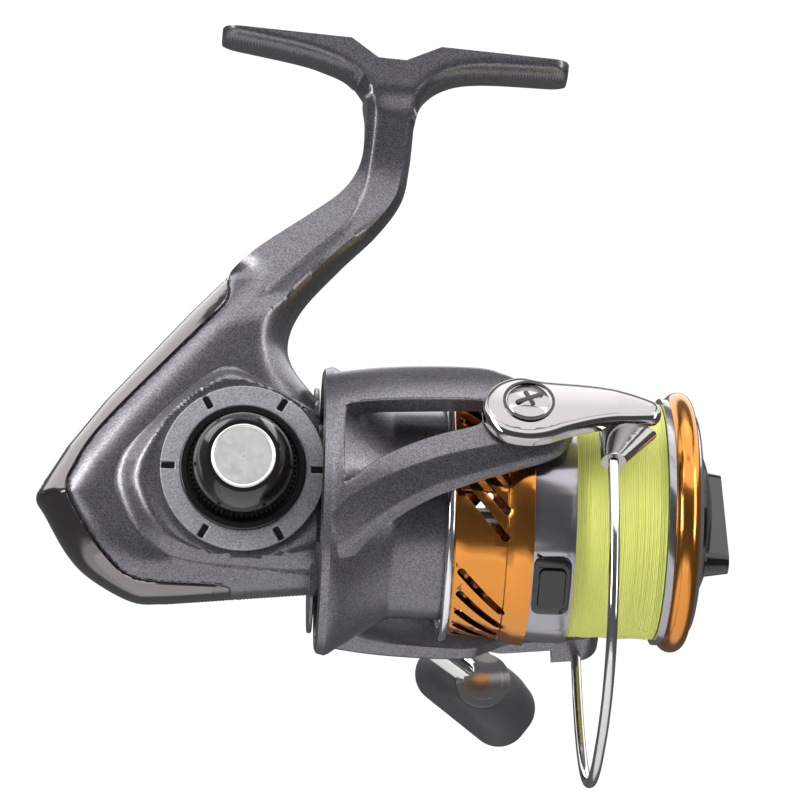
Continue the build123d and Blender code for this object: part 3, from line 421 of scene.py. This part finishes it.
def finish_piece(ob, body, mat, nodes, angle=35):
    """Smooth shading with sharp edges kept, a material, a body to ride on and the nodes it stands for."""
    me = ob.data
    bm = bmesh.new()
    bm.from_mesh(me)
    bmesh.ops.recalc_face_normals(bm, faces=bm.faces)
    for e in bm.edges:
        if len(e.link_faces) == 2 and e.calc_face_angle() > math.radians(angle):
            e.smooth = False
    for f in bm.faces:
        f.smooth = True
    bm.to_mesh(me)
    bm.free()
    me.materials.append(SLOTS[mat])
    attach(ob, body)
    if nodes:
        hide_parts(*nodes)


case_meshes()


def lathe(name, profile, axis_origin, axis, body, mat, nodes, steps=192, closed=True, angle=30):
    """A turned piece: profile of (along, radius) in mm round an axis."""
    u = axis.orthogonal().normalized()
    v = axis.cross(u)
    verts, faces = [], []
    k = len(profile)
    for i in range(steps):
        a = 2 * math.pi * i / steps
        out = u * math.cos(a) + v * math.sin(a)
        verts += [axis_origin + (axis * s + out * r) * MM for s, r in profile]
    for i in range(steps):
        j = (i + 1) % steps
        for q in range(k if closed else k - 1):
            w = (q + 1) % k
            faces.append((i * k + q, j * k + q, j * k + w, i * k + w))
    me = bpy.data.meshes.new(name)
    me.from_pydata(verts, [], faces)
    ob = bpy.data.objects.new(name, me)
    bpy.context.collection.objects.link(ob)
    finish_piece(ob, body, mat, nodes, angle)
    return ob


lathe("housing_flange",
        [(11.4, 0.2), (12.0, 21.2), (12.2, 21.4), (12.6, 21.4), (12.8, 21.2), (12.9, 15.0),
        (16.6, 15.0), (16.7, 11.5), (28.0, 11.5), (28.0, 0.2)], HUB, AHEAD, "root", "body_paint", [])
for v in bpy.data.objects["housing_flange"].data.vertices:
    v.co.y = max(v.co.y, -FLANGE_REACH * MM)


def at(vec, x, y, z):
    """Row-frame point from a set of axes, in mm."""
    return vec[0] + (vec[1] * x + vec[2] * y + vec[3] * z) * MM


def plate(name, axes, outline, low, high, round_over, body, mat, nodes, angle=30):
    """A flat piece with its top edge rolled over: outline in mm, low and high along the third axis."""
    pts = np.array(outline, float)
    c = pts.mean(axis=0)
    sections = [(0.0, low), (0.0, high - round_over)]
    for k in range(1, 6):
        a = k / 5 * math.pi / 2
        sections.append((round_over * (1 - math.cos(a)), high - round_over + round_over * math.sin(a)))
    run = np.roll(pts, -1, axis=0) - np.roll(pts, 1, axis=0)
    normal = np.stack([run[:, 1], -run[:, 0]], 1) / np.hypot(run[:, 0], run[:, 1])[:, None]
    if ((pts - c) * normal).sum() < 0:
        normal = -normal
    verts, faces = [], []
    n = len(pts)
    for inset, z in sections:
        verts += [at(axes, *(p - m * inset), z) for p, m in zip(pts, normal)]
    for k in range(len(sections) - 1):
        for i in range(n):
            j = (i + 1) % n
            faces.append((k * n + i, k * n + j, (k + 1) * n + j, (k + 1) * n + i))
    faces.append(tuple(range(n))[::-1])
    faces.append(tuple((len(sections) - 1) * n + i for i in range(n)))
    me = bpy.data.meshes.new(name)
    me.from_pydata(verts, [], faces)
    ob = bpy.data.objects.new(name, me)
    bpy.context.collection.objects.link(ob)
    finish_piece(ob, body, mat, nodes, angle)
    return ob


# dark plates in the six slots of the bearing ring: painted shade standing in for the shade inside the slot
# recesses
CRANK_AT = side(0, HANDLE_AXIS_UP)
for i in range(6):
    a = math.radians(60 * i)
    out_dir = AHEAD * math.cos(a) + UP * math.sin(a)
    cross_dir = UP * math.cos(a) - AHEAD * math.sin(a)
    bar = [(11.7, -0.5), (13.7, -0.5), (13.9, -0.4), (14.0, 0.0), (13.9, 0.4), (13.7, 0.5), (11.7, 0.5),
            (11.6, 0.0)]
    plate("ring_slot_painted_shade_%d" % i, (CRANK_AT, out_dir, cross_dir, NEAR), bar, 16.0, 16.5, 0.1, "root",
            "black_plastic", [])

# spun disc in the cap, turned with fine concentric grooves
spun = [(28.7, 0.02)]
spun += [(29.31 + (0.036 if k % 2 else 0.0), 0.02 + k * 0.1) for k in range(1, 49)]
spun += [(29.35, 4.95), (29.47, 5.02), (29.47, 5.3), (29.36, 5.38), (28.7, 5.38)]
lathe("spun_disc", spun, CRANK_AT, NEAR, "crank", "spun_metal", ["cap_disc"], 160, angle=60)

# bail arm: a domed plate, as cast and polished
PHI = math.radians(31.0)
OUTW = UP * math.sin(PHI) + NEAR * math.cos(PHI)
ACROSS = UP * math.cos(PHI) - NEAR * math.sin(PHI)
ARM_AXES = (HUB, AHEAD, ACROSS, OUTW)
arm_line = smooth_curve([(50.6, 5.3), (46.2, 6.1), (42.0, 4.2), (40.0, 0.4), (40.4, -3.2), (43.0, -6.6),
        (46.9, -7.7), (50.6, -7.2), (54.8, -5.5),
                         (60.0, -3.9), (66.0, -2.9), (69.2, -2.2), (70.3, -0.4), (69.9, 1.4), (68.6,
                                 2.3), (64.6, 3.6), (58.6, 4.7)], 0.5, closed=True)


def mesh_region(outline, hole, features, spacing):
    """Triangles over a closed outline with an optional hole, with points along the given features."""
    n = len(outline)
    loop = np.vstack([outline, outline[:1]])
    fixed = [outline] + ([hole] if hole is not None else [])
    edges = [(i, (i + 1) % n) for i in range(n)]
    if hole is not None:
        edges += [(n + i, n + (i + 1) % len(hole)) for i in range(len(hole))]
    low, high = outline.min(axis=0), outline.max(axis=0)
    gx, gy = np.meshgrid(np.arange(low[0], high[0], spacing), np.arange(low[1], high[1], spacing))
    layers = [(rings(line, offsets, closed), np.vstack([line, line[:1]]) if closed else line,
            clear) for line, offsets, closed, clear in features]
    layers.append((np.stack([gx.ravel() + 0.011, gy.ravel() + 0.013], 1), None, 0.0))
    owners, pts = [], []
    for q, owner, clear in layers:
        q = q[inside(q, outline)]
        if hole is not None:
            q = q[~inside(q, hole)]
            q = q[distance(q, np.vstack([hole, hole[:1]]))[0] > 0.08]
        q = q[distance(q, loop)[0] > 0.08]
        for other, room in owners:
            q = q[distance(q, other)[0] > room]
        if owner is not None:
            owners.append((owner, clear))
        pts.append(q)
    p = np.vstack(fixed + pts)
    verts, _, faces, _, _, _ = geometry.delaunay_2d_cdt([Vector(q) for q in p], edges, [], 1, 1e-5)
    p = np.array([tuple(v) for v in verts])
    tri = np.array([f for f in faces if len(f) == 3])
    mid = p[tri].mean(axis=1)
    keep = inside(mid, outline)
    if hole is not None:
        keep &= ~inside(mid, hole)
    return p, tri[keep]


def arm_row(x, t, r):
    return at(ARM_AXES, x, t, r)


p, tri = mesh_region(arm_line, None,
        [(arm_line, [-0.1, -0.3, -0.6, -1.0, -1.5, 0.1, 0.3, 0.6, 1.0, 1.5], True, 1.7)], 0.6)
edge = distance(p, np.vstack([arm_line, arm_line[:1]]))[0]
top = 31.05 - 1.3 * (1 - bulge(edge, 1.5, 2.0))
top = top - 0.11 * np.maximum(0, p[:, 0] - 62.5) - 0.012 * np.maximum(0,
        47 - p[:, 0]) ** 2 - 0.012 * (p[:, 1] - 0.5) ** 2
build("bail_arm_cast", p, tri, top, np.full(len(p), -28.3), "bail", "dark_chrome", ["bail_arm"],
        arm_row, 40)

# domed cross-head screw in the bail arm
PIVOT_AT = arm_row(47.7, 0, 0)
dome = [(28.5, 0.05)] + [(31.75 - 0.9 * (r / 3.9) ** 2, r) for r in (0.05, 0.6, 1.2, 1.8, 2.4, 3.0, 3.5,
        3.75)] + [(30.7, 3.9), (28.5, 3.9)]
lathe("bail_screw_head", dome, PIVOT_AT, OUTW, "bail", "dark_chrome", ["bail_screw"], 96, angle=50)
lathe("bail_screw_gap", [(30.5, 3.92), (31.12, 3.92), (31.12, 4.4), (30.5, 4.4)], PIVOT_AT, OUTW,
        "bail", "black_plastic", [], 96)
# black bars raised on the dome for the cross recess: painted shade standing in for the shade inside the
# recess
turn = math.radians(25)
for k, (half, wide) in enumerate(((2.5, 0.42), (1.7, 0.42))):
    a = turn + k * math.pi / 2
    d1 = AHEAD * math.cos(a) + ACROSS * math.sin(a)
    d2 = ACROSS * math.cos(a) - AHEAD * math.sin(a)
    bar = [(-half, -wide * 0.6), (-half + 0.3, -wide), (half - 0.3, -wide), (half, -wide * 0.6),
            (half, wide * 0.6), (half - 0.3, wide), (-half + 0.3, wide), (-half, wide * 0.6)]
    plate("bail_screw_cross_painted_shade_%d" % k, (PIVOT_AT, d1, d2, OUTW), bar, 31.0, 31.8 - 0.03 * k, 0.05, "bail",
            "black_plastic", [])

# rotor: turned cup, and two cast arms
cup = [(13.4, 22.8), (13.4, 24.2), (13.75, 24.85), (15.1, 25.2), (15.9, 24.85), (17.2, 23.9),
        (25.4, 18.75), (26.4, 18.35), (35.2, 18.3), (35.5, 18.05),
       (35.5, 3.0), (29.8, 3.0), (29.8, 6.5), (33.0, 6.5), (33.0, 16.5), (25.4, 16.5), (15.4, 22.6)]
lathe("rotor_cup", cup, HUB, AHEAD, "rotor", "body_paint", ["rotor"], 256, angle=25)
ARM_OUTLINE = np.vstack([
    smooth_curve([(13.5, 14.6), (26.0, 14.3), (40.0, 13.4), (44.2, 11.2), (47.0, 9.2), (50.4, 7.4),
            (54.2, 4.6), (56.2, 0.6), (55.4, -3.4)], 0.45)[:-1],
    smooth_curve([(55.4, -3.4), (52.5, -6.6), (46.0, -8.9), (39.0, -11.0), (31.7, -13.2), (24.5, -16.4),
            (19.0, -19.4), (13.5, -22.4)], 0.45)[:-1],
    straight([(13.5, -22.4), (13.5, 14.6)], 0.7)[:-1],
])
WINDOW = smooth_curve([(17.3, 1.6), (18.2, 3.0), (28.0, 3.0), (39.6, 2.7), (40.8, 1.6), (40.4, -1.2),
        (38.8, -2.9), (33.0, -4.6), (26.4, -7.0), (21.0, -9.6), (18.0, -11.7), (17.2, -11.0),
        (17.0, -5.0)], 0.45, closed=True)
ARM_CREASE = smooth_curve([(13.4, -18.6), (16.9, -15.2), (20.5, -13.3), (27.7, -10.6), (35.0, -8.3),
        (43.1, -6.3), (50.0, -4.2), (55.6, -1.5)], 0.45)
OUTER_R = smooth_curve([(13.3, 24.0), (15.0, 25.15), (23.0, 26.7), (32.0, 27.6), (42.0, 27.95),
        (57.0, 27.95)], 0.4)
INNER_R = np.array([(13.3, 22.4), (16.0, 21.6), (23.0, 23.4), (40.0, 24.8), (57.0, 24.8)])
p, tri = mesh_region(ARM_OUTLINE, WINDOW, [
    (ARM_CREASE, [-0.25, 0.0, 0.25], False, 0.45),
    (ARM_OUTLINE, [-0.12, -0.35, -0.7, -1.1, -1.6, 0.12, 0.35, 0.7, 1.1, 1.6], True, 1.8),
    (WINDOW, [-0.12, -0.3, -0.6, 0.12, 0.3, 0.6], True, 0.7)], 0.8)
outer = np.interp(p[:, 0], OUTER_R[:, 0], OUTER_R[:, 1])
inner = np.interp(p[:, 0], INNER_R[:, 0], INNER_R[:, 1])
rim = distance(p, ARM_OUTLINE[:-16])[0]
gap = distance(p, np.vstack([WINDOW, WINDOW[:1]]))[0]
fall, which = distance(p, ARM_CREASE)
fall = np.where(which < 0, fall, 0.0)
lower = which < 0
drop = 0.5 * fall + np.where(lower, 0.7 * (1 - bulge(rim, 0.8, 2.0)),
        1.1 * (1 - bulge(rim, 1.5, 2.0))) + 0.3 * (1 - bulge(gap, 0.5, 2.0))
drop *= ease((p[:, 0] - 13.4) / 2.5)
t2 = p[:, 1] ** 2
r_out = np.sqrt(np.maximum(outer ** 2 - t2, 1.0)) - drop
r_in = np.minimum(np.sqrt(np.maximum(inner ** 2 - t2, 1.0)), r_out - 0.8)
build("rotor_arm_near", p, tri, r_out, -r_in, "rotor", "body_paint", [], arm_row, 24)


def far_arm_row(x, t, r):
    return HUB + (AHEAD * x - ACROSS * t - OUTW * r) * MM


build("rotor_arm_far", p, tri, r_out, -r_in, "rotor", "body_paint", [], far_arm_row, 24)


# ------------------------------------------------------------------ wound line
def braid_profile(rear, front, radius, pitch=0.3):
    """Crests of the outermost turns, uneven as wound braid is."""
    rng = np.random.default_rng(7)
    turns = int((front - rear) / pitch)
    out = [(rear, 15.2)]
    for i in range(turns):
        a = rear + (front - rear) * i / turns
        w = (front - rear) / turns
        crest = radius - 0.12 * rng.random() - 0.1 * (1 + math.sin(i * 0.37)) * 0.5
        out += [(a, crest - 0.14), (a + 0.22 * w, crest - 0.03), (a + 0.5 * w, crest),
                (a + 0.78 * w, crest - 0.03)]
    out += [(front, radius - 0.2), (front, 15.2)]
    return out


winding = lathe("braid", braid_profile(56.75, 72.35, 20.75), HUB, AHEAD, "spool", "line",
        ["line_winding"], 256, angle=100)
rng = np.random.default_rng(3)
waves = [(rng.integers(3, 40), rng.random() * 6.28, rng.random() * 3.0) for _ in range(14)]
for v in winding.data.vertices:
    rel = v.co - HUB
    along = rel.dot(AHEAD) / MM
    flat = rel - AHEAD * rel.dot(AHEAD)
    if flat.length < 17 * MM:
        continue
    a = math.atan2(flat.dot(UP), flat.y)
    wob = sum(math.sin(n * a + ph + along * k) for n, ph, k in waves) * 0.012
    v.co += flat.normalized() * (wob - 0.05) * MM

# ------------------------------------------------------------------ softened edges
EDGES = {"bail_holder": 0.4, "handle_arm": 0.3, "handle_knob": 1.6, "drag_knob": 0.5,
         "skirt_ring": 0.12, "rear_ring": 0.12, "spool": 0.15, "face_ring": 0.15,
         "clip_frame": 0.25, "line_clip": 0.4, "bearing_ring": 0.18,
         "cap_collar": 0.25, "eye_cap": 0.25, "bail_cone": 0.25, "holder_screw": 0.3, "knob_plug": 0.2}
for name, width in EDGES.items():
    obj = frame["nodes"][name]
    weld = obj.modifiers.new("Weld", "WELD")
    weld.merge_threshold = 0.000002
    bevel = obj.modifiers.new("Bevel", "BEVEL")
    bevel.width = width * MM
    bevel.segments = 3
    bevel.limit_method = "ANGLE"
    bevel.angle_limit = math.radians(32)
    bevel.use_clamp_overlap = True
    bevel.harden_normals = True

# ------------------------------------------------------------------ floor, light and camera
def plane_mesh(name, points):
    me = bpy.data.meshes.new(name)
    me.from_pydata(points, [], [tuple(range(len(points)))])
    ob = bpy.data.objects.new(name, me)
    bpy.context.collection.objects.link(ob)
    return ob


floor = plane_mesh("floor",
        [(FLOOR_RADIUS * math.cos(a), FLOOR_RADIUS * math.sin(a), FLOOR_Z) for a in np.linspace(0,
        2 * math.pi, 65)[:-1]])
white = bpy.data.materials.new("FloorPale")
white.use_nodes = True
white.node_tree.nodes["Principled BSDF"].inputs["Base Color"].default_value = (0.8, 0.8, 0.8, 1)
white.node_tree.nodes["Principled BSDF"].inputs["Roughness"].default_value = 0.7
floor.data.materials.append(white)

world = bpy.data.worlds.new("Studio")
bpy.context.scene.world = world
world.use_nodes = True
wt = world.node_tree
bg = wt.nodes["Background"]
out = wt.nodes["World Output"]
bg.inputs["Color"].default_value = (1, 1, 1, 1)
bg.inputs["Strength"].default_value = BACKDROP_STRENGTH
studio = node(wt, "ShaderNodeBackground")
sky = node(wt, "ShaderNodeTexCoord")
split = node(wt, "ShaderNodeSeparateXYZ")
level = node(wt, "ShaderNodeMapRange")
level.inputs["From Min"].default_value = -1.0
ramp = node(wt, "ShaderNodeValToRGB")
stops = [(0.0, 0.42), (0.17, 0.5), (0.215, 0.09), (0.46, 0.06), (0.685, 0.1), (0.705, 1.0), (0.86, 1.0),
        (0.885, 0.14), (0.965, 0.16), (1.0, 0.7)]
elements = ramp.color_ramp.elements
elements.remove(elements[1])
elements[0].position = stops[0][0]
elements[0].color = (stops[0][1], stops[0][1], stops[0][1] * 1.02, 1)
for where, value in stops[1:]:
    added = elements.new(where)
    added.color = (value, value, value * 1.02, 1)
wt.links.new(sky.outputs["Generated"], split.inputs[0])
wt.links.new(split.outputs["Z"], level.inputs["Value"])
wt.links.new(level.outputs["Result"], ramp.inputs["Fac"])
wt.links.new(ramp.outputs["Color"], studio.inputs["Color"])
studio.inputs["Strength"].default_value = STUDIO_STRENGTH
lp = node(wt, "ShaderNodeLightPath")
mix = node(wt, "ShaderNodeMixShader")
wt.links.new(lp.outputs["Is Camera Ray"], mix.inputs[0])
wt.links.new(studio.outputs[0], mix.inputs[1])
wt.links.new(bg.outputs[0], mix.inputs[2])
wt.links.new(mix.outputs[0], out.inputs["Surface"])


def light(name, place, to, w, h, power, color=(1, 1, 1)):
    d = bpy.data.lights.new(name, "AREA")
    d.shape = "RECTANGLE"
    d.size, d.size_y = w, h
    d.energy = power
    d.color = color
    o = bpy.data.objects.new(name, d)
    bpy.context.collection.objects.link(o)
    o.location = place
    o.rotation_mode = "QUATERNION"
    o.rotation_quaternion = (Vector(to) - Vector(place)).to_track_quat("-Z", "Y")
    return o


MID = side(20, 10)
light("Top", MID + Vector((0.0, -0.25, 0.75)), MID, 1.1, 0.6, 3)
light("LeftFront", MID + Vector((-0.75, -0.55, 0.15)), MID, 0.3, 0.8, 7)
light("RightFront", MID + Vector((0.85, -0.45, 0.2)), MID, 0.3, 0.8, 3.5)
light("Under", MID + Vector((0.0, -0.5, -0.75)), MID, 0.9, 0.4, 0.7)

eye = side(0, -89, 600)
target = side(27.156, 20.147, 0)
cam_data = bpy.data.cameras.new("Camera")
cam_data.sensor_width = 36
cam_data.lens = 156.2
cam_data.clip_start = 0.01
cam = bpy.data.objects.new("Camera", cam_data)
bpy.context.collection.objects.link(cam)
fwd = (target - eye).normalized()
right = fwd.cross(UP).normalized()
up = right.cross(fwd)
roll = math.radians(1.513)
right2 = right * math.cos(roll) + up * math.sin(roll)
up2 = up * math.cos(roll) - right * math.sin(roll)
m = Matrix((right2, up2, -fwd)).transposed().to_4x4()
m.translation = eye
cam.matrix_world = m
bpy.context.scene.camera = cam
bpy.context.scene.view_settings.view_transform = "Standard"
